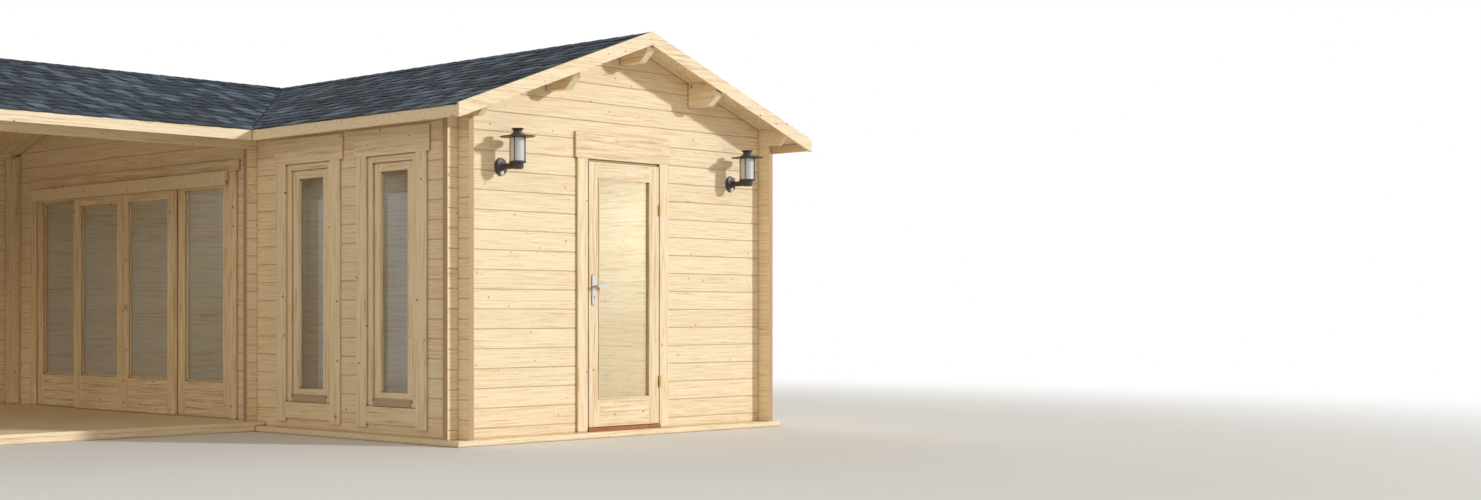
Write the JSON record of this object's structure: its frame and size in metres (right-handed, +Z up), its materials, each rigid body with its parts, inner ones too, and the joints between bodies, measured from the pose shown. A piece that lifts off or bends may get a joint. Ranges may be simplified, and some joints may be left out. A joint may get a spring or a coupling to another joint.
{
  "type": "log cabin with a covered side porch",
  "caption": "Log cabin: a gabled room with a glazed door, tall windows and wall lamps, and a roofed porch beside it with sliding doors.",
  "frame": {"origin": "the outer wall corner at the front left of the room, on the ground, at the foundation beams' underside", "axes": "+X to the right along the front gable, +Y from the front gable to the back, +Z up"},
  "size_m": [7.35, 6.0549, 2.893],
  "materials": {
    "log_wall": "planed",
    "trim_boards": "planed",
    "floor_boards": "planed",
    "ground_beams": "sawn",
    "hardwood_sill": "oiled",
    "roof_lining": "planed",
    "roof_shingle": "gritty",
    "door_timber": "planed",
    "clear_glass": "clear",
    "dark_metal": "satin",
    "zinc_steel": "satin",
    "bare_steel": "satin",
    "drip_metal": "satin"
  },
  "bodies": {
    "cabin": {"foundation_beams": "ground_beams", "floor_joists": "ground_beams", "room_floor": "floor_boards", "porch_floor": "floor_boards", "front_wall_left": "log_wall", "front_wall_right": "log_wall", "front_gable": "log_wall", "rear_gable_wall": "log_wall", "right_wall": "log_wall", "window_wall": "log_wall", "porch_pier_near": "log_wall", "porch_pier_far": "log_wall", "porch_inner_gable": "log_wall", "crossing_logs_left": "log_wall", "porch_back_wall": "log_wall", "cover_boards": "trim_boards", "porch_beam": "log_wall", "porch_gable": "log_wall", "porch_posts": "log_wall", "room_purlins": "log_wall", "porch_purlins": "log_wall", "room_roof_boards": "roof_lining", "porch_roof_boards": "roof_lining", "roof_shingles": "roof_shingle", "ridge_caps": "roof_shingle", "front_barge_boards": "trim_boards", "rear_barge_boards": "trim_boards", "porch_barge_boards": "trim_boards", "eave_fascias": "trim_boards", "door_frame": "door_timber", "door_threshold": "hardwood_sill", "door_trim": "trim_boards", "door_hinge_pins": "zinc_steel", "window_frames": "door_timber", "window_glass": "clear_glass", "window_drip_caps": "drip_metal", "window_trim": "trim_boards", "porch_fixed_panels": "door_timber", "porch_fixed_glass": "clear_glass", "porch_door_head": "door_timber", "porch_door_rail": "bare_steel", "porch_track_cover": "trim_boards", "porch_door_trim": "trim_boards", "lamp_bodies": "dark_metal", "lamp_glasses": "clear_glass"},
    "front_door": {"door_leaf": "door_timber", "door_glass": "clear_glass", "door_hinge_knuckles": "zinc_steel", "door_handle_plates": "bare_steel"},
    "door_handle": {"door_lever": "bare_steel"},
    "near_sliding_leaf": {"sliding_leaf_near": "door_timber", "sliding_glass_near": "clear_glass"},
    "far_sliding_leaf": {"sliding_leaf_far": "door_timber", "sliding_glass_far": "clear_glass"}
  },
  "joints": [
    {"name": "front_door_hinge", "type": "hinge", "parent": "cabin", "child": "front_door", "pos_m": [2.0975, -0.027, 0.38], "axis": [0, 0, 1], "range_deg": [0, 110]},
    {"name": "door_handle_turn", "type": "hinge", "parent": "front_door", "child": "door_handle", "pos_m": [1.355, -0.018, 1.076], "axis": [0, 1, 0], "range_deg": [0, 45]},
    {"name": "near_leaf_slide", "type": "slide", "parent": "cabin", "child": "near_sliding_leaf", "axis": [0, -1, 0], "range_m": [0, 0.6]},
    {"name": "far_leaf_slide", "type": "slide", "parent": "cabin", "child": "far_sliding_leaf", "axis": [0, 1, 0], "range_m": [0, 0.6]}
  ]
}
